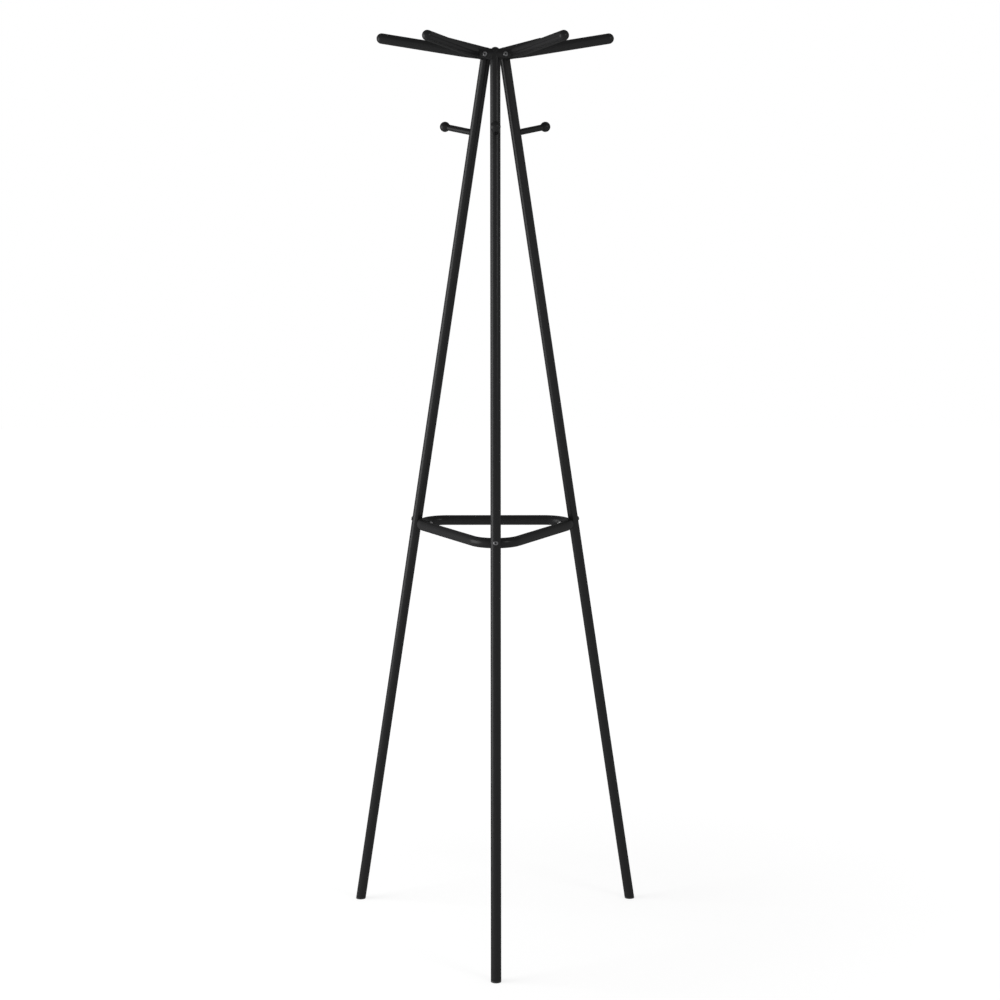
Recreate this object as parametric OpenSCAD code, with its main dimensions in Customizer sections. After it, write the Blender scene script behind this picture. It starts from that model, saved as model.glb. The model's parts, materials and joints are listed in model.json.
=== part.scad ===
// Standing coat rack: three leaning tube legs that meet in a crown of six arms,
// tied together half way up by a three-cornered ring that also holds umbrellas.
// The floor is z = 0 and the stand's own axis is the z axis. Millimetres and degrees.

/* [Tubes] */
// Outside diameter of the legs, arms and ring
tube_d = 20; // [18:0.5:22]
// Wall of every tube
tube_wall = 1.5; // [1:0.1:2]

/* [Legs] */
// Distance from the stand's axis to a leg's axis on the floor
foot_r = 327; // [280:1:360]
// Distance from the stand's axis to a leg's axis in the crown
crown_r = 20; // [19:0.5:24]
// Height at which the arms cross the legs
crown_z = 1742; // [1500:1:1900]
// How far a leg tube stands above the axis of its arms
leg_rise = 4; // [2:0.5:8]

/* [Feet and end caps] */
// Thickness of the glide under a leg
glide_t = 3; // [2:0.5:6]
// Length of the plug that each glide and cap has inside its tube
plug_len = 16; // [10:1:25]

/* [Arms] */
// Distance along an arm from the leg's axis to the centre of the round end
arm_reach = 217; // [150:1:280]
// Rise of an arm above the horizontal
arm_slope = 9; // [6:0.5:14]
// Radius of the slow bend between the leg and the straight part of an arm
arm_bend_r = 410; // [360:5:520]

/* [Crown joints] */
// Length of each spigot from the middle of a crown joint
spigot_len = 18; // [17.5:0.1:18.5]
// Radial clearance of a straight spigot in a slowly bent tube
spigot_gap = 0.5; // [0.5:0.05:0.8]
// Distance from the leg's axis to a crown screw
crown_screw_y = 20; // [19.5:0.1:21]
// Length of a crown screw under its head
crown_screw_len = 14; // [10:0.5:15]

/* [Ring] */
// Height of the ring's centre line
ring_z = 817; // [500:1:1200]
// Bend radius of the ring's corners, on the centre line
ring_bend_r = 50; // [40:1:70]

/* [Hooks] */
// Height at which a hook's axis crosses the leg's axis
hook_z = 1593; // [1300:1:1640]
// Distance from the leg's axis to the centre of a hook's knob
hook_reach = 68; // [50:1:100]
// Diameter of a hook's rod
hook_d = 12; // [10:0.5:13]
// Diameter of a hook's knob
knob_d = 20; // [18:0.5:26]
// Material left between the rod's end and the tip of the knob
knob_cover = 12; // [9:0.5:13]
// Diameter of the thread on a hook's tail
tail_d = 6; // [5:0.5:6]
// Length of the tail below the outside of the leg
tail_len = 8; // [6.5:0.5:9]

/* [Hook inserts] */
// Diameter of the threaded insert in a leg's wall
insert_d = 8.8; // [8:0.1:9.5]
// Diameter of the insert's collar behind the wall
collar_d = 12; // [11:0.5:12.5]
// Thickness of the insert's collar
collar_t = 2.4; // [1.5:0.1:3]

/* [Screws and nuts] */
// Thread diameter of the crown and ring screws
screw_d = 5; // [4:0.5:5.5]
// Diameter of a screw's round head
head_d = 9.5; // [8.5:0.1:11]
// Height of a screw's round head
head_h = 2.8; // [2.4:0.1:3.4]
// Hexagon key size of a screw's socket, across flats
key_af = 3; // [2.5:0.5:4]
// Depth of the socket
key_depth = 1.6; // [1:0.1:2]
// Size of a cap nut across its flats
nut_af = 8; // [7.5:0.5:10]
// Height of a cap nut's hexagon
nut_hex_h = 3.6; // [3:0.1:5]
// Diameter of a cap nut's dome
nut_dome_d = 7.4; // [6.8:0.1:7.5]

/* [Fits] */
// Radial clearance of plugs, screws, knobs and inserts in their holes
fit_gap = 0.1; // [0.05:0.05:0.2]
// Gap left by the welded and butted seams of the crown
seam_gap = 0.15; // [0.1:0.05:0.3]

/* [Hidden] */
$fn = 96;

// Directions of the three legs: front, back right and back left
leg_az = [270, 30, 150];
front = 0;
right = 1;
left = 2;
// The two ends of a crossbar, seen along its leg's direction
end_a = 1;
end_b = -1;
// Half the angle between two legs
half_step = 180 / len(leg_az);

tube_r = tube_d / 2;
bore_d = tube_d - 2 * tube_wall;
plug_d = bore_d - 2 * fit_gap;
hole_d = screw_d + 2 * fit_gap;
lean = atan((foot_r - crown_r) / crown_z);
leg_top = crown_z / cos(lean) + leg_rise;
// Cutting bodies reach this far past what they cut
over = 5;

// A crossbar meets the next one where both are this far from their legs
vertex_y = crown_r * tan(half_step);
vertex_r = crown_r / cos(half_step);
vertex_z = crown_z + bend_lift(vertex_y);
vertex_tilt = asin(vertex_y / arm_bend_r);
arm_straight = (arm_reach - arm_bend_r * sin(arm_slope)) / cos(arm_slope);

// The ring's corners lie against the insides of the legs
ring_step = tube_d + fit_gap;
ring_joint_z = ring_z + ring_step * sin(lean);
ring_corner_r = foot_r - ring_joint_z * tan(lean) - ring_step * cos(lean);
ring_arc_r = ring_corner_r - ring_bend_r;
ring_side = 2 * ring_arc_r * sin(half_step);
// Each weld is buried in the wall, and leaves a hairline groove
weld_len = 2;
weld_skin = 0.6;
weld_seam = 0.02;

nut_corner_d = nut_af / cos(30);
nut_seat = pow(nut_corner_d / 2, 2) / (2 * (ring_bend_r - tube_r)) + fit_gap;
nut_bore = nut_hex_h + 2;
ring_screw_len = tube_d + ring_step + nut_seat + nut_hex_h + 1;

rod_end = hook_reach + knob_d / 2 - knob_cover;
insert_top = sqrt(pow(tube_r, 2) - pow(insert_d / 2, 2)) - fit_gap;
collar_top = sqrt(pow(bore_d / 2, 2) - pow(collar_d / 2, 2)) - fit_gap;
insert_len = tail_len + 1;

black = [0.13, 0.13, 0.14];
plastic = [0.07, 0.07, 0.07];
zinc = [0.45, 0.45, 0.46];

// Height that the slow bend has gained at a distance y from the leg
function bend_lift(y) = arm_bend_r - sqrt(pow(arm_bend_r, 2) - pow(y, 2));

// ---- Places ----

// Local z runs up the leg's axis and local x points away from the stand
module on_leg(leg, z = 0) {
    rotate([0, 0, leg_az[leg]])
        translate([foot_r, 0, 0])
            rotate([0, -lean, 0])
                translate([0, 0, z / cos(lean)])
                    children();
}

// Local z points away from the leg, at a right angle to its axis
module out_of_leg(leg, z) {
    on_leg(leg, z)
        rotate([0, 90, 0])
            children();
}

// Local y runs along the crossbar to the end that is asked for
module on_crossbar(leg, side) {
    rotate([0, 0, leg_az[leg]])
        mirror([0, side == end_b ? 1 : 0, 0])
            translate([crown_r, 0, crown_z])
                children();
}

// Local z points out of the arm's round end
module on_arm_end(leg, side) {
    on_crossbar(leg, side)
        translate([0, arm_bend_r * sin(arm_slope), bend_lift(arm_bend_r * sin(arm_slope))])
            rotate([arm_slope - 90, 0, 0])
                translate([0, 0, arm_straight])
                    children();
}

// Local z runs along the screw, out of the crossbar
module on_crown_screw(leg, side) {
    on_crossbar(leg, side)
        translate([tube_r, crown_screw_y, bend_lift(crown_screw_y)])
            rotate([0, 90, 0])
                children();
}

// ---- Shapes ----

module tube_section() {
    difference() {
        circle(d = tube_d);
        circle(d = bore_d);
    }
}

// One half of a bent crossbar, from the leg's axis to the round end
module half_crossbar(leg, side) {
    on_crossbar(leg, side)
        translate([0, 0, arm_bend_r])
            rotate([0, 90, 0])
                rotate([0, 0, arm_slope]) {
                    rotate_extrude(angle = -arm_slope)
                        translate([arm_bend_r, 0])
                            tube_section();
                    translate([arm_bend_r, 0, 0])
                        rotate([-90, 0, 0])
                            linear_extrude(arm_straight)
                                tube_section();
                }
}

// The quarter of space beyond a crown vertex (outer) or before it
module crown_quarter(leg, side, outer) {
    reach = 2 * arm_reach;
    start = outer ? seam_gap / 2 : -reach - seam_gap / 2;
    on_crossbar(leg, side)
        translate([0, vertex_y, 0])
            rotate([0, 0, half_step])
                translate([start, start, -tube_d])
                    cube(reach);
}

// Round end that plugs a tube; the tube's end face is z = 0
module dome_plug() {
    intersection() {
        sphere(d = tube_d);
        translate([0, 0, tube_d])
            cube(2 * tube_d, center = true);
    }
    translate([0, 0, -plug_len])
        cylinder(d = plug_d, h = plug_len + tube_r / 2);
}

// Round-headed socket screw; the head sits on z = 0
module button_screw(length) {
    cap_r = (pow(head_d / 2, 2) + pow(head_h, 2)) / (2 * head_h);
    difference() {
        intersection() {
            translate([0, 0, head_h - cap_r])
                sphere(r = cap_r);
            cylinder(d = head_d + over, h = head_h + over);
        }
        translate([0, 0, head_h - key_depth])
            cylinder(d = key_af / cos(30), h = key_depth + over, $fn = 6);
    }
    translate([0, 0, -length])
        cylinder(d = screw_d, h = length + head_h - key_depth);
}

// A corner of the ring and the straight side after it, closed by a weld inside the wall
module ring_third() {
    rotate_extrude(angle = -2 * half_step)
        translate([ring_bend_r, 0])
            tube_section();
    translate([ring_bend_r, 0, 0])
        rotate([-90, 0, 0])
            linear_extrude(ring_side - weld_seam)
                tube_section();
    translate([ring_bend_r, ring_side - weld_len / 2, 0])
        rotate([-90, 0, 0])
            linear_extrude(weld_len)
                difference() {
                    circle(d = tube_d - weld_skin);
                    circle(d = bore_d + weld_skin);
                }
}

module ring_tube() {
    for (az = leg_az)
        rotate([0, 0, az])
            translate([ring_arc_r, 0, ring_z])
                rotate([0, 0, half_step])
                    ring_third();
}

// ---- Legs ----

module leg(leg) {
    color(black)
        difference() {
            on_leg(leg)
                translate([0, 0, -tube_d])
                    linear_extrude(leg_top + tube_d)
                        tube_section();
            rotate([0, 0, leg_az[leg]])
                translate([foot_r, 0, glide_t - 2 * tube_d])
                    cube(4 * tube_d, center = true);
            out_of_leg(leg, ring_joint_z)
                cylinder(d = hole_d, h = 2 * tube_d, center = true);
            out_of_leg(leg, hook_z)
                cylinder(d = insert_d + 2 * fit_gap, h = tube_d);
        }
}

module leg_cap(leg) {
    color(black)
        on_leg(leg)
            translate([0, 0, leg_top])
                dome_plug();
}

module foot_glide(leg) {
    color(plastic) {
        intersection() {
            on_leg(leg)
                cylinder(d = tube_d, h = 2 * tube_d, center = true);
            rotate([0, 0, leg_az[leg]])
                translate([foot_r, 0, glide_t / 2])
                    cube([4 * tube_d, 4 * tube_d, glide_t], center = true);
        }
        difference() {
            on_leg(leg)
                cylinder(d = plug_d, h = plug_len + glide_t);
            translate([0, 0, -tube_d + glide_t / 2])
                cube([4 * foot_r, 4 * foot_r, 2 * tube_d], center = true);
        }
    }
}

// ---- Crown ----

module crown_link(leg, side) {
    color(black)
        difference() {
            intersection() {
                half_crossbar(leg, side);
                crown_quarter(leg, side, false);
            }
            on_leg(leg)
                cylinder(d = tube_d + 2 * seam_gap, h = leg_top + tube_d);
            on_crown_screw(leg, side)
                cylinder(d = hole_d, h = tube_d, center = true);
        }
}

module arm(leg, side) {
    color(black)
        intersection() {
            half_crossbar(leg, side);
            crown_quarter(leg, side, true);
        }
}

module arm_cap(leg, side) {
    color(black)
        on_arm_end(leg, side)
            dome_plug();
}

// Solid cross inside the vertex that follows the given leg
module crown_joint(leg) {
    next = (leg + 1) % len(leg_az);
    color(zinc)
        difference() {
            for (turn = [-30, 30])
                rotate([0, 0, leg_az[leg] + half_step])
                    translate([vertex_r, 0, vertex_z])
                        rotate([0, 0, turn])
                            rotate([0, 90 - vertex_tilt, 0])
                                cylinder(d = bore_d - 2 * spigot_gap, h = 2 * spigot_len, center = true);
            for (end = [[leg, end_a], [next, end_b]])
                on_crown_screw(end[0], end[1])
                    translate([0, 0, -crown_screw_len - fit_gap])
                        cylinder(d = hole_d, h = crown_screw_len + over);
        }
}

module crown_screws() {
    color(zinc)
        for (leg = [front, right, left], side = [end_a, end_b])
            on_crown_screw(leg, side)
                button_screw(crown_screw_len);
}

// ---- Ring ----

module umbrella_ring() {
    color(black)
        difference() {
            ring_tube();
            for (leg = [front, right, left])
                out_of_leg(leg, ring_joint_z)
                    translate([0, 0, -ring_step])
                        cylinder(d = hole_d, h = 2 * tube_d, center = true);
        }
}

module ring_screws() {
    color(zinc)
        for (leg = [front, right, left])
            out_of_leg(leg, ring_joint_z)
                translate([0, 0, tube_r])
                    button_screw(ring_screw_len);
}

module ring_cap_nuts() {
    color(zinc)
        for (leg = [front, right, left])
            out_of_leg(leg, ring_joint_z)
                translate([0, 0, -ring_step - tube_r - nut_seat])
                    mirror([0, 0, 1])
                        difference() {
                            union() {
                                cylinder(d = nut_corner_d, h = nut_hex_h, $fn = 6);
                                translate([0, 0, nut_hex_h])
                                    sphere(d = nut_dome_d);
                            }
                            translate([0, 0, -over])
                                cylinder(d = hole_d, h = nut_bore + over);
                        }
}

// ---- Hooks ----

module hook_rod(leg) {
    color(black) {
        difference() {
            out_of_leg(leg, hook_z)
                cylinder(d = hook_d, h = rod_end);
            on_leg(leg)
                cylinder(d = tube_d + 2 * fit_gap, h = leg_top);
        }
        out_of_leg(leg, hook_z)
            translate([0, 0, tube_r - tail_len])
                cylinder(d = tail_d, h = tail_len + over);
    }
}

module hook_knob(leg) {
    color(black)
        out_of_leg(leg, hook_z)
            difference() {
                translate([0, 0, hook_reach])
                    sphere(d = knob_d);
                cylinder(d = hook_d + 2 * fit_gap, h = rod_end + fit_gap);
            }
}

module hook_inserts() {
    color(zinc)
        for (leg = [front, right, left])
            out_of_leg(leg, hook_z)
                difference() {
                    union() {
                        translate([0, 0, tube_r - insert_len])
                            cylinder(d = insert_d, h = insert_top - tube_r + insert_len);
                        translate([0, 0, collar_top - collar_t])
                            cylinder(d = collar_d, h = collar_t);
                    }
                    cylinder(d = tail_d + 2 * fit_gap, h = 2 * tube_d, center = true);
                }
}

leg(front);  // leg_front
leg(right);  // leg_right
leg(left);  // leg_left
leg_cap(front);  // leg_cap_front
leg_cap(right);  // leg_cap_right
leg_cap(left);  // leg_cap_left
foot_glide(front);  // foot_glide_front
foot_glide(right);  // foot_glide_right
foot_glide(left);  // foot_glide_left
crown_link(front, end_a);  // crown_link_front_a
crown_link(front, end_b);  // crown_link_front_b
crown_link(right, end_a);  // crown_link_right_a
crown_link(right, end_b);  // crown_link_right_b
crown_link(left, end_a);  // crown_link_left_a
crown_link(left, end_b);  // crown_link_left_b
crown_joint(front);  // crown_joint_front_right
crown_joint(right);  // crown_joint_back
crown_joint(left);  // crown_joint_front_left
crown_screws();
arm(front, end_a);  // arm_right
arm(front, end_b);  // arm_left
arm(right, end_a);  // arm_back_left
arm(right, end_b);  // arm_front_right
arm(left, end_a);  // arm_front_left
arm(left, end_b);  // arm_back_right
arm_cap(front, end_a);  // arm_cap_right
arm_cap(front, end_b);  // arm_cap_left
arm_cap(right, end_a);  // arm_cap_back_left
arm_cap(right, end_b);  // arm_cap_front_right
arm_cap(left, end_a);  // arm_cap_front_left
arm_cap(left, end_b);  // arm_cap_back_right
umbrella_ring();
ring_screws();
ring_cap_nuts();
hook_rod(front);  // hook_rod_front
hook_rod(right);  // hook_rod_right
hook_rod(left);  // hook_rod_left
hook_knob(front);  // hook_knob_front
hook_knob(right);  // hook_knob_right
hook_knob(left);  // hook_knob_left
hook_inserts();
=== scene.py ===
# Standing coat rack: powder coat, welds, screws, studio and camera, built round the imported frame.
import json
import math
import bmesh
import bpy
import numpy as np
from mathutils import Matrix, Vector


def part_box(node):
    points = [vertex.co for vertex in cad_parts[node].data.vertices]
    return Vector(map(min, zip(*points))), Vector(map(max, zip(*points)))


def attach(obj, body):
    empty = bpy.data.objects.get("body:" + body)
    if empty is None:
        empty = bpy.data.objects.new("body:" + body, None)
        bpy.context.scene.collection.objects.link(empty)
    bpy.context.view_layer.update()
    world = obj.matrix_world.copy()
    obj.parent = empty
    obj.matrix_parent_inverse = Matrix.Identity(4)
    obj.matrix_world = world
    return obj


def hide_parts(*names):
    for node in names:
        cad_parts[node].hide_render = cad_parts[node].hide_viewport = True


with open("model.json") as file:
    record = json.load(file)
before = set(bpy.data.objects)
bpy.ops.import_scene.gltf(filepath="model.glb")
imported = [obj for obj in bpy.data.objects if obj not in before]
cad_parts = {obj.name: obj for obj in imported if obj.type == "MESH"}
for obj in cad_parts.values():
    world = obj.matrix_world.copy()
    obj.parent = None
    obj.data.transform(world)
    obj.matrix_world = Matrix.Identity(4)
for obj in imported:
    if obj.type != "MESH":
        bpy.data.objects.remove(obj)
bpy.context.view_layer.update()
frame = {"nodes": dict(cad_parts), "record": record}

nodes = frame["nodes"]
record = frame["record"]
print("frame loaded:", len(nodes), "nodes")


class Wire:  # one output of a node tree, with arithmetic on it
    def __init__(self, tree, socket=None):
        self.tree = tree
        self.socket = socket

    def node(self, kind, settings=None, values=None, out=0):  # any node: settings first, then its sockets
        made = self.tree.nodes.new(kind)
        for name, value in (settings or {}).items():
            if name == "stops":
                ramp = made.color_ramp
                while len(ramp.elements) < len(value):
                    ramp.elements.new(1)
                for element, (place, level) in zip(ramp.elements, value):
                    element.position = place
                    element.color = (level, level, level, 1)
            else:
                setattr(made, name, value)
        for name, value in (values or {}).items():
            if isinstance(value, Wire):
                self.tree.links.new(value.socket, made.inputs[name])
            else:
                made.inputs[name].default_value = value
        return Wire(self.tree, made.outputs[out])

    def maths(self, operation, first, second):
        kind = "ShaderNodeVectorMath" if self.socket.type == "VECTOR" else "ShaderNodeMath"
        return self.node(kind, {"operation": operation}, {0: first, 1: second})

    def __add__(self, other):
        return self.maths("ADD", self, other)

    def __radd__(self, other):
        return self.maths("ADD", other, self)

    def __sub__(self, other):
        return self.maths("SUBTRACT", self, other)

    def __rsub__(self, other):
        return self.maths("SUBTRACT", other, self)

    def __mul__(self, other):
        return self.maths("MULTIPLY", self, other)

    def __rmul__(self, other):
        return self.maths("MULTIPLY", other, self)

    def __truediv__(self, other):
        return self.maths("DIVIDE", self, other)

    def __rtruediv__(self, other):
        return self.maths("DIVIDE", other, self)

    def clamped(self):
        return self.node("ShaderNodeClamp", None, {0: self})

    def blend(self, low, high):  # a colour between two, by this value
        return self.node("ShaderNodeMix", {"data_type": "RGBA"}, {0: self, 6: (*low, 1), 7: (*high, 1)}, out=2)


def newMaterial(name):
    material = bpy.data.materials.new(name)
    material.use_nodes = True
    return material, Wire(material.node_tree), material.node_tree.nodes["Principled BSDF"]


def feed(wire, shader, name):
    wire.tree.links.new(wire.socket, shader.inputs[name])


def noise(start, place, size, detail=1.0):
    return start.node("ShaderNodeTexNoise", None, {"Vector": place, "Scale": 1 / size, "Detail": detail})


def bumped(start, height, depth):
    return start.node("ShaderNodeBump", None, {"Height": height, "Distance": depth})


def tinted(start, amount, under, over):  # a colour laid over a link, by this amount
    return start.node("ShaderNodeMix", {"data_type": "RGBA"}, {0: amount, 6: under, 7: (*over, 1)}, out=2)


powderCoat = {
    "dark": (0.0112, 0.0112, 0.0115), "light": (0.0142, 0.0142, 0.0147),
    "sheen": 0.23, "sheenRoughness": 0.27, "glanceFade": 1.1, "roughness": 0.5, "roughnessSpread": 0.12,
    "peelSize": 0.0016, "peelDepth": 0.00003, "grainSize": 0.00035, "grainShare": 0.12, "cloudSize": 0.09,
    "dust": 0.12, "dustTone": (0.03, 0.029, 0.027), "dustSize": 0.02, "dustBare": 0.45,
    "scuffHeight": 0.22, "scuffStretch": (900, 900, 60), "scuffStops": [(0.62, 0.0), (0.7, 1.0)],
    "scuffTone": 0.25, "scuffDepth": 0.1, "wornRoughness": 0.2,
}


def powderCoatMaterial(size):
    material, start, shader = newMaterial("powderCoat")
    place = start.node("ShaderNodeTexCoord", out="Object")
    peel = noise(start, place, size["peelSize"], 1.5)
    grain = noise(start, place, size["grainSize"], 2)
    cloud = noise(start, place, size["cloudSize"], 3)
    facing = start.node("ShaderNodeNewGeometry", out="Normal")
    upward = start.node("ShaderNodeSeparateXYZ", None, {0: facing}, out="Z").clamped()
    settled = (noise(start, place, size["dustSize"], 4) - size["dustBare"]).clamped() * upward * size["dust"]
    height = start.node("ShaderNodeSeparateXYZ", None, {0: place}, out="Z")
    low = (1 - height / size["scuffHeight"]).clamped()  # shoes and brooms reach this high
    streak = start.node("ShaderNodeMapping", None, {"Vector": place, "Scale": size["scuffStretch"]})
    scuff = start.node("ShaderNodeTexNoise", None, {"Vector": streak, "Scale": 1.0, "Detail": 2.0})
    scuff = start.node("ShaderNodeValToRGB", {"stops": size["scuffStops"]}, {0: scuff}) * low
    base = cloud.blend(size["dark"], size["light"])
    worn = (settled + scuff * size["scuffTone"]).clamped()
    feed(tinted(start, worn, base, size["dustTone"]), shader, "Base Color")
    rough = cloud * size["roughnessSpread"] + (size["roughness"] - size["roughnessSpread"] / 2)
    feed(rough + worn * size["wornRoughness"], shader, "Roughness")
    relief = peel + grain * size["grainShare"] - scuff * size["scuffDepth"]
    feed(bumped(start, relief, size["peelDepth"]), shader, "Normal")
    shader.inputs["Specular IOR Level"].default_value = 0.0  # the clear top layer carries all the gloss
    glancing = start.node("ShaderNodeLayerWeight", None, {"Blend": 0.5}, out="Facing")  # 1 along the outlines
    feed((1 - glancing * glancing * size["glanceFade"]).clamped() * size["sheen"], shader, "Coat Weight")
    shader.inputs["Coat Roughness"].default_value = size["sheenRoughness"]
    return material


glidePlastic = {
    "dark": (0.009, 0.009, 0.009), "light": (0.016, 0.016, 0.016), "smoothest": 0.48, "roughnessSpread": 0.15,
    "grainSize": 0.0006, "grainDepth": 0.00004, "patchSize": 0.006, "gloss": 0.3,
}


def glidePlasticMaterial(size):
    material, start, shader = newMaterial("glidePlastic")
    place = start.node("ShaderNodeTexCoord", out="Object")
    grain = noise(start, place, size["grainSize"], 2)
    patch = noise(start, place, size["patchSize"], 3)
    feed(patch.blend(size["dark"], size["light"]), shader, "Base Color")
    feed(patch * size["roughnessSpread"] + size["smoothest"], shader, "Roughness")
    feed(bumped(start, grain, size["grainDepth"]), shader, "Normal")
    shader.inputs["Specular IOR Level"].default_value = size["gloss"]
    return material


metalGrain = {  # shared by both metals
    "patchShare": 0.7, "patchRoughness": 0.16, "crystalRoughness": 0.06, "ringHeight": 0.5, "pitSize": 0.0004,
    # the recess colour is painted shade in a screw's key hole
    "recessEdge": 0.0003, "recessTone": (0.004, 0.004, 0.004),
}


def metalMaterial(name, size):
    grain = metalGrain
    material, start, shader = newMaterial(name)
    place = start.node("ShaderNodeTexCoord", out="Object")
    patch = noise(start, place, size["patchSize"], 3)
    crystal = start.node("ShaderNodeTexVoronoi", None,
                         {"Vector": place, "Scale": 1 / size["crystalSize"]}, out="Color")
    crystal = start.node("ShaderNodeSeparateXYZ", None, {0: crystal}, out="X")
    fromAxis = start.node("ShaderNodeAttribute", {"attribute_name": "axisDistance"}, out="Fac")
    rings = start.node("ShaderNodeMath", {"operation": "SINE"},
                       {0: fromAxis * (2 * math.pi / size["turningPitch"])})
    mottle = patch * grain["patchShare"] + crystal * (1 - grain["patchShare"])
    tone = mottle.blend(size["dark"], size["light"])
    keyHoleShade = ((size["recessRadius"] - fromAxis) / grain["recessEdge"]).clamped()  # painted shade in the key's hole, darkening the metal there
    tone = tinted(start, keyHoleShade * size["recessShade"], tone, grain["recessTone"])
    feed(tone, shader, "Base Color")
    uneven = patch * grain["patchRoughness"] + crystal * grain["crystalRoughness"]
    feed(uneven + size["smoothest"], shader, "Roughness")
    relief = rings * grain["ringHeight"] + noise(start, place, grain["pitSize"], 2)
    feed(bumped(start, relief, size["markDepth"]), shader, "Normal")
    shader.inputs["Metallic"].default_value = 1.0
    return material


blackenedScrew = {
    "dark": (0.075, 0.075, 0.078), "light": (0.145, 0.145, 0.148), "smoothest": 0.24,
    "patchSize": 0.003, "crystalSize": 0.0012, "turningPitch": 0.00025, "markDepth": 0.000012,
    "recessRadius": 0.0018, "recessShade": 0.95,
}
zincPlate = {
    "dark": (0.25, 0.25, 0.24), "light": (0.42, 0.42, 0.43), "smoothest": 0.26,
    "patchSize": 0.004, "crystalSize": 0.0008, "turningPitch": 0.0003, "markDepth": 0.00001,
    "recessRadius": 0.0, "recessShade": 0.0,
}

finishes = {
    "black_coat": powderCoatMaterial(powderCoat),
    "glide_plastic": glidePlasticMaterial(glidePlastic),
    "blackened_screw": metalMaterial("blackenedScrew", blackenedScrew),
    "plated_steel": metalMaterial("zincPlate", zincPlate),
}
slotOf = {row["node"]: row["material_slot"] for row in record["subparts"]}
for name, node in nodes.items():
    node.data.materials.clear()
    node.data.materials.append(finishes[slotOf[name]])
print("finishes on", len(nodes), "nodes")


legNames = ["front", "right", "left"]
feet = {row["name"].replace("foot_", ""): Vector(row["pos_m"]) for row in record["mounts"]
        if row["name"].startswith("foot_")}
barLow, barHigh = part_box("crown_link_front_a")
tubeRadius = (barHigh.y - barLow.y) / 2
crossingRadius = -(barHigh.y + barLow.y) / 2
crossingHeight = barLow.z + tubeRadius
lean = math.atan2(feet["front"].length - crossingRadius, crossingHeight)
sectorCosine = 0.5  # 60 degrees either side of a leg


def legAxes(leg, tilt):  # rows: away from the stand, along the crossbar, up the leg
    outward = feet[leg].normalized()
    along = Vector((-outward.y, outward.x, 0))
    away = outward * math.cos(tilt) + Vector((0, 0, math.sin(tilt)))
    upward = Vector((0, 0, math.cos(tilt))) - outward * math.sin(tilt)
    return np.array([away, along, upward])


def pointsAt(nodeName, leg):  # a node's points in the third of the circle round a leg
    points = np.array([vertex.co for vertex in nodes[nodeName].data.vertices], float)
    return points[points @ legAxes(leg, 0)[0] > sectorCosine * np.hypot(points[:, 0], points[:, 1])]


def fastenerPlaces(nodeName, tilt, sides, facing):  # where each one ends, and the way it faces
    found = []
    for leg in legNames:
        axes = legAxes(leg, tilt)
        local = pointsAt(nodeName, leg) @ axes.T
        for side in sides:
            part = local[local[:, 1] * side >= 0]
            middle = (part.min(0) + part.max(0)) / 2
            end = (part[:, 0] * facing).max() * facing
            found.append((axes.T @ np.array([end, middle[1], middle[2]]), axes[0] * facing))
    return found


def newTree(name, sizes):  # a Geometry Nodes tree with one named input for each size
    tree = bpy.data.node_groups.new(name, "GeometryNodeTree")
    tree.interface.new_socket("Geometry", in_out="INPUT", socket_type="NodeSocketGeometry")
    for label, kind in sizes.items():
        tree.interface.new_socket(label, in_out="INPUT", socket_type="NodeSocket" + kind)
    tree.interface.new_socket("Geometry", in_out="OUTPUT", socket_type="NodeSocketGeometry")
    entry = tree.nodes.new("NodeGroupInput")
    return tree, {output.name: Wire(tree, output) for output in entry.outputs if output.name}


def closeTree(tree, shape, finish):
    real = shape.node("GeometryNodeRealizeInstances", None, {"Geometry": shape})
    painted = real.node("GeometryNodeSetMaterial", None, {"Geometry": real, "Material": finish})
    tree.links.new(painted.socket, tree.nodes.new("NodeGroupOutput").inputs[0])


def grow(name, tree, startMesh, values, replaced=()):
    piece = bpy.data.objects.new(name, startMesh)
    bpy.context.scene.collection.objects.link(piece)
    modifier = piece.modifiers.new(tree.name, "NODES")
    modifier.node_group = tree
    for item in tree.interface.items_tree:
        if item.in_out == "INPUT" and item.name in values:
            modifier[item.identifier] = values[item.name]
    grown = piece.evaluated_get(bpy.context.evaluated_depsgraph_get())
    mesh = bpy.data.meshes.new_from_object(grown)
    piece.modifiers.clear()
    piece.data = mesh
    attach(piece, "root")
    if replaced:
        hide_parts(*replaced)
    print(name, "grown:", len(mesh.polygons), "faces")


# the ring: a triangle with filleted corners, swept by the tube's outside and its bore

ringLow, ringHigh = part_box("umbrella_ring")
ringFlat = ringHigh.y - tubeRadius  # the straight back side lies this far from the stand's axis
ringCorner = -ringLow.y - tubeRadius
ringTube = {
    "Sharp Corner": 2 * ringFlat, "Bend Radius": 2 * ringFlat - ringCorner, "Tube Radius": tubeRadius,
    "Wall": 0.0015, "Height": (ringLow.z + ringHigh.z) / 2, "Turn": math.radians(30),
    "Bend Steps": 36, "Sides": 48, "Finish": finishes["black_coat"],
}


def sweep(path, radius, sides, scale=1.0):
    circle = path.node("GeometryNodeCurvePrimitiveCircle", None, {"Resolution": sides, "Radius": radius})
    return path.node("GeometryNodeCurveToMesh", None, {"Curve": path, "Profile Curve": circle, "Scale": scale})


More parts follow.
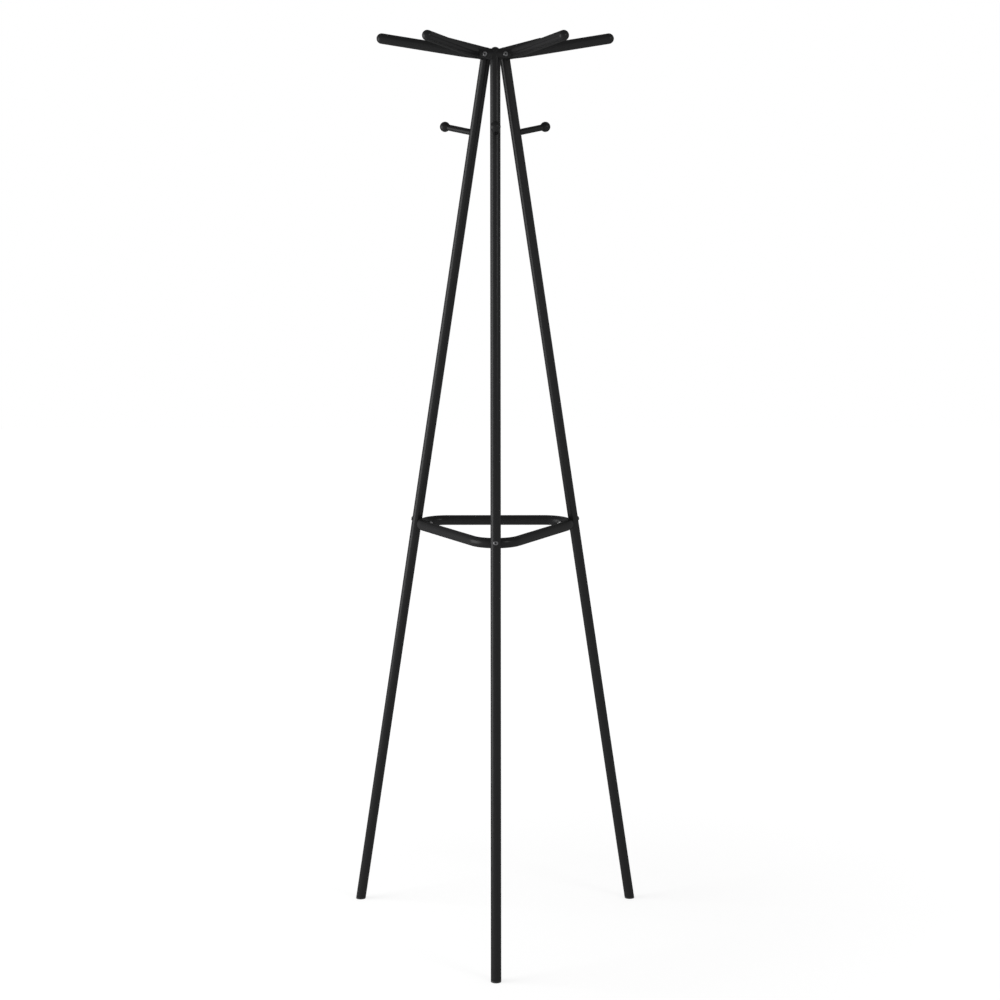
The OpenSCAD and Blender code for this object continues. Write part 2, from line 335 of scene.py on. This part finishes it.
def ringTree():
    tree, size = newTree("ringTube", {
        "Sharp Corner": "Float", "Bend Radius": "Float", "Tube Radius": "Float", "Wall": "Float",
        "Height": "Float", "Turn": "Float", "Bend Steps": "Int", "Sides": "Int", "Finish": "Material"})
    start = size["Geometry"]
    triangle = start.node("GeometryNodeCurvePrimitiveCircle", None,
                          {"Resolution": 3, "Radius": size["Sharp Corner"]})
    bent = start.node("GeometryNodeFilletCurve", {"mode": "POLY"},
                      {"Curve": triangle, "Count": size["Bend Steps"], "Radius": size["Bend Radius"]})
    lift = start.node("ShaderNodeCombineXYZ", None, {"Z": size["Height"]})
    twist = start.node("ShaderNodeCombineXYZ", None, {"Z": size["Turn"]})
    path = start.node("GeometryNodeTransform", None,
                      {"Geometry": bent, "Translation": lift, "Rotation": twist})
    outside = sweep(path, size["Tube Radius"], size["Sides"])
    bore = sweep(path, size["Tube Radius"] - size["Wall"], size["Sides"])
    bore = start.node("GeometryNodeFlipFaces", None, {"Mesh": bore})  # its wall looks inwards
    both = tree.nodes.new("GeometryNodeJoinGeometry")
    for part in (outside, bore):
        tree.links.new(part.socket, both.inputs[0])
    closeTree(tree, Wire(tree, both.outputs[0]), size["Finish"])
    return tree


grow("ringTube", ringTree(), bpy.data.meshes.new("ringStart"), ringTube, ["umbrella_ring"])


# weld beads where the crown's tubes meet

weldBead = {
    "Bead Radius": 0.0013, "Ripple Pitch": 0.0011, "Ripple Depth": 0.09, "Step": 0.0003, "Sides": 10,
    "Finish": finishes["black_coat"],
}
weldPath = {
    "points": 72, "leanest": 0.3, "thinning": 0.6, "bendRadius": 0.41, "sink": 0.0002,
    "searchRadii": 4, "halvings": 40,
}


def weldTree():
    tree, size = newTree("weldBead", {
        "Bead Radius": "Float", "Ripple Pitch": "Float", "Ripple Depth": "Float", "Step": "Float",
        "Sides": "Int", "Finish": "Material"})
    start = size["Geometry"]
    line = start.node("GeometryNodeMeshToCurve", None, {"Mesh": start})
    line = start.node("GeometryNodeResampleCurve", {"mode": "LENGTH"}, {"Curve": line, "Length": size["Step"]})
    full = start.node("GeometryNodeInputNamedAttribute", {"data_type": "FLOAT"}, {"Name": "fullness"})
    run = start.node("GeometryNodeSplineParameter", out="Length")
    wave = start.node("ShaderNodeMath", {"operation": "SINE"}, {0: run / size["Ripple Pitch"] * (2 * math.pi)})
    swell = full * (1 + wave * size["Ripple Depth"])
    closeTree(tree, sweep(line, size["Bead Radius"], size["Sides"], swell), size["Finish"])
    return tree


def barDistance(point, leg):  # from a point to the bent centre line of a leg's crossbar
    away, along, up = legAxes(leg, 0) @ point
    bend = weldPath["bendRadius"]
    return math.hypot(away - crossingRadius, math.hypot(along, up - crossingHeight - bend) - bend)


def seamPoint(middle, direction, leg):  # the crossbar's surface, that way from the middle
    near, far = 0.0, weldPath["searchRadii"] * tubeRadius
    for _ in range(weldPath["halvings"]):
        half = (near + far) / 2
        if barDistance(middle + direction * half, leg) < tubeRadius - weldPath["sink"]:
            near = half
        else:
            far = half
    return middle + direction * near


def fullness(turn):  # a bead thins towards the flanks of its seam
    return max(weldPath["leanest"], abs(math.cos(turn)) ** weldPath["thinning"])


def weldLines():  # a closed line of (point, fullness) for each seam of the crown
    turns = [2 * math.pi * index / weldPath["points"] for index in range(weldPath["points"])]
    reach = tubeRadius - weldPath["sink"]
    bend = weldPath["bendRadius"]
    across = math.radians(60)  # the next crossing of two bars, between this leg and the next
    lines = []
    for leg in legNames:
        axes = legAxes(leg, lean)
        level = legAxes(leg, 0)
        crossing = level[0] * crossingRadius + level[2] * crossingHeight
        for side in (1, -1):
            lines.append([(crossing + reach * (math.sin(turn) * axes[0] + side * abs(math.cos(turn)) * axes[1]
                                               + math.cos(turn) * axes[2]), fullness(turn)) for turn in turns])
        outward = level[0] * math.cos(across) + level[1] * math.sin(across)
        lift = bend - math.sqrt(bend ** 2 - (crossingRadius * math.tan(across)) ** 2)
        corner = outward * crossingRadius / math.cos(across) + level[2] * (crossingHeight + lift)
        for flat in (outward, np.cross(level[2], outward)):
            lines.append([(seamPoint(corner, flat * math.cos(turn) + level[2] * math.sin(turn), leg),
                           fullness(turn)) for turn in turns])
    return lines


def weldStart(lines):
    mesh = bpy.data.meshes.new("weldStart")
    points = [point for line in lines for point, _ in line]
    edges, first = [], 0
    for line in lines:
        edges += [(first + index, first + (index + 1) % len(line)) for index in range(len(line))]
        first += len(line)
    mesh.from_pydata(points, edges, [])
    marks = mesh.attributes.new("fullness", "FLOAT", "POINT")
    marks.data.foreach_set("value", [full for line in lines for _, full in line])
    return mesh


grow("crownWelds", weldTree(), weldStart(weldLines()), weldBead)


# screws and cap nuts: each turned once, then set on its places by one tree

fastenerTurn = {"Largest Turn": math.radians(60), "Seed": 7}  # how far each was done up, at random
creaseAngle = math.radians(32)  # edges sharper than this stay crisp


def fastenerTree():
    tree, size = newTree("fasteners", {
        "Blank": "Object", "Largest Turn": "Float", "Seed": "Int", "Finish": "Material"})
    start = size["Geometry"]
    blank = start.node("GeometryNodeObjectInfo", None, {"Object": size["Blank"]}, out="Geometry")
    aim = start.node("GeometryNodeInputNamedAttribute", {"data_type": "FLOAT_VECTOR"}, {"Name": "aim"})
    faced = start.node("FunctionNodeAlignRotationToVector", {"axis": "Z"}, {"Vector": aim})
    turn = start.node("FunctionNodeRandomValue", {"data_type": "FLOAT"},
                      {3: size["Largest Turn"], "Seed": size["Seed"]}, out=1)  # socket 3 is the largest value
    turn = start.node("FunctionNodeAxisAngleToRotation", None, {"Axis": (0, 0, 1), "Angle": turn})
    faced = start.node("FunctionNodeRotateRotation", {"rotation_space": "LOCAL"},
                       {"Rotation": faced, "Rotate By": turn})
    placed = start.node("GeometryNodeInstanceOnPoints", None,
                        {"Points": start, "Instance": blank, "Rotation": faced})
    closeTree(tree, placed, size["Finish"])
    return tree


def hexagon(flats, limit=1.0):  # a radius that follows six flats, rounded off at the limit
    def radius(angle):
        return min(limit, flats / 2 / math.cos((angle + math.pi / 6) % (math.pi / 3) - math.pi / 6))
    return radius


def threaded(size, height):  # a radius that follows the thread at this height
    def radius(angle):
        place = (height / size["pitch"] - angle / (2 * math.pi)) % 1
        depth = size["flankSlope"] * abs(2 * place - 1) - size["crestFlat"]
        return size["shank"] - size["threadDepth"] * min(1, max(0, depth))
    return radius


def turnedBlank(name, rings, sides=48):  # rings of one radius or radius rule each, from pole to pole
    shape = bmesh.new()
    distance = shape.verts.layers.float.new("axisDistance")
    rows = []
    for radius, height in rings:
        row = []
        for index in range(1 if radius == 0 else sides):
            angle = 2 * math.pi * index / sides
            reach = radius(angle) if callable(radius) else radius
            vert = shape.verts.new((reach * math.cos(angle), reach * math.sin(angle), height))
            vert[distance] = radius(0) if callable(radius) else radius  # one value around each ring
            row.append(vert)
        rows.append(row)
    for low, high in zip(rows, rows[1:]):
        for index in range(sides):
            after = (index + 1) % sides
            corners = [low[index % len(low)], low[after % len(low)],
                       high[after % len(high)], high[index % len(high)]]
            shape.faces.new(list(dict.fromkeys(corners)))  # three corners at a pole
    bmesh.ops.recalc_face_normals(shape, faces=shape.faces)
    for face in shape.faces:
        face.smooth = True
    for edge in shape.edges:
        edge.smooth = edge.calc_face_angle(0) < creaseAngle
    mesh = bpy.data.meshes.new(name)
    shape.to_mesh(mesh)
    shape.free()
    blank = bpy.data.objects.new(name, mesh)
    bpy.context.scene.collection.objects.link(blank)
    return blank


buttonScrew = {
    "shank": 0.0025, "threadDepth": 0.0003, "pitch": 0.0008, "threadLength": 0.014, "tip": 0.0006,
    "flankSlope": 1.4, "crestFlat": 0.2, "stepsPerPitch": 6, "plainNeck": 0.0016,
    "head": 0.00475, "headHeight": 0.0028, "rim": 0.0004, "flatTop": 0.0024, "domeSteps": 8,
    "socketMouth": 0.0021, "mouthDepth": 0.00025, "key": 0.003, "keyDepth": 0.0016, "socketPoint": 0.0005,
}


def buttonScrewRings(size, length):
    shank, bottom = size["shank"], -length
    rings = [(0, bottom), (shank - size["tip"], bottom)]
    steps = int(min(length - size["plainNeck"], size["threadLength"]) / size["pitch"] * size["stepsPerPitch"])
    for step in range(steps + 1):
        height = bottom + size["tip"] + step * size["pitch"] / size["stepsPerPitch"]
        rings.append((threaded(size, height), height))
    rings += [(shank, rings[-1][1] + size["pitch"] / 2), (shank, 0)]
    rings += [(size["head"] - size["rim"] / 2, 0), (size["head"], size["rim"] / 2)]
    rise, spread = size["headHeight"] - size["rim"], size["head"] - size["flatTop"]
    for step in range(size["domeSteps"] + 1):
        turn = math.pi / 2 * step / size["domeSteps"]
        rings.append((size["flatTop"] + spread * math.cos(turn), size["rim"] + rise * math.sin(turn)))
    mouth, key = size["headHeight"], hexagon(size["key"])
    rings += [(size["socketMouth"], mouth), (key, mouth - size["mouthDepth"]),
              (key, mouth - size["keyDepth"]), (0, mouth - size["keyDepth"] - size["socketPoint"])]
    return rings


capNut = {
    "flats": 0.008, "hexHeight": 0.0036, "dome": 0.0037, "domeSteps": 9,
    "bore": 0.0026, "boreDepth": 0.0056, "borePoint": 0.0008, "boreMouth": 0.0004, "mouthDepth": 0.0005,
    "chamfer": 0.0004, "chamferSlope": 1.7, "faceRadius": 0.0039,
}


def capNutRings(size):
    top, cut = size["hexHeight"], size["chamfer"]
    rings = [(0, size["boreDepth"]), (size["bore"], size["boreDepth"] - size["borePoint"]),
             (size["bore"], size["mouthDepth"]), (size["bore"] + size["boreMouth"], 0)]
    for height in (0, cut / 2, cut, top - cut, top - cut / 2, top):
        limit = size["faceRadius"] + min(height, top - height) * size["chamferSlope"]
        rings.append((hexagon(size["flats"], limit), height))
    for step in range(size["domeSteps"] + 1):
        turn = math.pi / 2 * step / size["domeSteps"]
        reach = size["dome"] * math.cos(turn) if step < size["domeSteps"] else 0
        rings.append((reach, top + size["dome"] * math.sin(turn)))
    return rings


def setOut(name, tree, places, blank, standOff, slot, replaced):  # a blank's seat is standOff behind its place
    mesh = bpy.data.meshes.new(name + "Start")
    mesh.from_pydata([place - aim * standOff for place, aim in places], [], [])
    aims = mesh.attributes.new("aim", "FLOAT_VECTOR", "POINT")
    aims.data.foreach_set("vector", np.array([aim for _, aim in places]).ravel())
    grow(name, tree, mesh, {**fastenerTurn, "Blank": blank, "Finish": finishes[slot]}, replaced)
    bpy.data.objects.remove(blank)


def shankLength(nodeName, tilt):  # of the first screw in a node, under its head
    along = pointsAt(nodeName, legNames[0]) @ legAxes(legNames[0], tilt)[0]
    return float(along.max() - along.min()) - buttonScrew["headHeight"]


setTree = fastenerTree()
for name, node, tilt, sides in (("crownScrews", "crown_screws", 0, (1, -1)),
                                ("ringScrews", "ring_screws", lean, (0,))):
    blank = turnedBlank(name + "Blank", buttonScrewRings(buttonScrew, shankLength(node, tilt)))
    setOut(name, setTree, fastenerPlaces(node, tilt, sides, 1), blank,
           buttonScrew["headHeight"], "blackened_screw", [node])
setOut("ringNuts", setTree, fastenerPlaces("ring_cap_nuts", lean, (0,), -1),
       turnedBlank("nutBlank", capNutRings(capNut)),
       capNut["hexHeight"] + capNut["dome"], "plated_steel", ["ring_cap_nuts"])


studio = {
    "floorSize": 16.0, "floorColour": 0.8, "floorRoughness": 0.9,
    "floorShown": (0.775, 0.89), "floorPool": (0.5, 1.5), "floorShadow": 0.3,
    "worldLevel": 0.68, "ceilingLevel": 0.3, "ceilingShade": 0.62, "ceilingStart": 0.2, "ceilingRise": 2.5,
    "strip": {"place": (-2.95, -0.45, 1.15), "size": (2.3, 2.5), "power": 104, "aim": (0, 0, 1.15)},
    "fill": {"place": (2.05, -2.05, 2.55), "size": (0.8, 1.2), "power": 18.5, "aim": (0, 0, 1.5)},
}


def areaLight(name, plan):
    light = bpy.data.lights.new(name, "AREA")
    light.shape = "RECTANGLE"
    light.size, light.size_y = plan["size"]
    light.energy = plan["power"]
    lamp = bpy.data.objects.new(name, light)
    bpy.context.scene.collection.objects.link(lamp)
    lamp.location = plan["place"]
    lamp.rotation_euler = (Vector(plan["aim"]) - lamp.location).to_track_quat("-Z", "Y").to_euler()
    lamp.visible_camera = False


def seen(start):  # 1 for rays that show the backdrop, straight or in a reflection
    path = start.tree.nodes.new("ShaderNodeLightPath")
    direct, glossy, through = (Wire(start.tree, path.outputs[name])
                               for name in ("Is Camera Ray", "Is Glossy Ray", "Is Transmission Ray"))
    return (direct + glossy + through).clamped()


world = bpy.data.worlds.new("studioWorld")
bpy.context.scene.world = world
world.use_nodes = True
sky = Wire(world.node_tree)
shown = seen(sky)
direction = sky.node("ShaderNodeTexCoord", out="Generated")
aloft = sky.node("ShaderNodeSeparateXYZ", None, {0: direction}, out="Z").clamped()
soft = studio["worldLevel"] - aloft * (studio["worldLevel"] - studio["ceilingLevel"])
overhead = ((aloft - studio["ceilingStart"]) * studio["ceilingRise"]).clamped()  # darker than the backdrop
skyLevel = shown * (1 - overhead * studio["ceilingShade"]) + (1 - shown) * soft
background = world.node_tree.nodes["Background"]
background.inputs["Color"].default_value = (1, 1, 1, 1)
feed(skyLevel, background, "Strength")

areaLight("stripLight", studio["strip"])
areaLight("fillLight", studio["fill"])

floorMesh = bpy.data.meshes.new("floor")
half = studio["floorSize"] / 2
floorCorners = [(-half, -half, 0), (half, -half, 0), (half, half, 0), (-half, half, 0)]
floorMesh.from_pydata(floorCorners, [], [(0, 1, 2, 3)])
floor = bpy.data.objects.new("floor", floorMesh)
bpy.context.scene.collection.objects.link(floor)
floorMaterial, start, shader = newMaterial("paleFloor")
shader.inputs["Base Color"].default_value = (*[studio["floorColour"]] * 3, 1)
shader.inputs["Roughness"].default_value = studio["floorRoughness"]
shader.inputs["Specular IOR Level"].default_value = 0.0
place = start.node("ShaderNodeTexCoord", out="Object")
away = start.node("ShaderNodeVectorMath", {"operation": "LENGTH"}, {0: place}, out="Value")
away = ((away - studio["floorPool"][0]) / studio["floorPool"][1]).clamped()
near, far = ([level] * 3 for level in studio["floorShown"])  # dimmer round the feet, so their shadows show
glow = start.node("ShaderNodeEmission", None, {"Color": away.blend(near, far)})
matte = start.node("ShaderNodeBsdfDiffuse", None, {"Color": (*[studio["floorShadow"]] * 3, 1)})
lit = start.node("ShaderNodeAddShader", None, {0: glow, 1: matte})
plainFloor = Wire(start.tree, shader.outputs[0])
result = start.node("ShaderNodeMixShader", None, {0: seen(start), 1: plainFloor, 2: lit})
start.tree.links.new(result.socket, start.tree.nodes["Material Output"].inputs["Surface"])
floorMesh.materials.append(floorMaterial)

camera = {
    "distance": 4.5584, "height": 1.5963, "azimuth": -0.192, "aimHeight": 0.8749, "pan": 0.00923,
    "lens": 83.88, "sensor": 36,
}
cameraData = bpy.data.cameras.new("camera")
cameraData.sensor_width = camera["sensor"]
cameraData.lens = camera["lens"]
cameraObject = bpy.data.objects.new("camera", cameraData)
bpy.context.scene.collection.objects.link(cameraObject)
azimuth = math.radians(camera["azimuth"])
cameraObject.location = (camera["distance"] * math.sin(azimuth), -camera["distance"] * math.cos(azimuth),
                         camera["height"])
sight = Vector((camera["pan"], 0, camera["aimHeight"])) - cameraObject.location
cameraObject.rotation_euler = sight.to_track_quat("-Z", "Y").to_euler()
bpy.context.scene.camera = cameraObject
bpy.context.scene.view_settings.view_transform = "Standard"
print("studio and camera set")
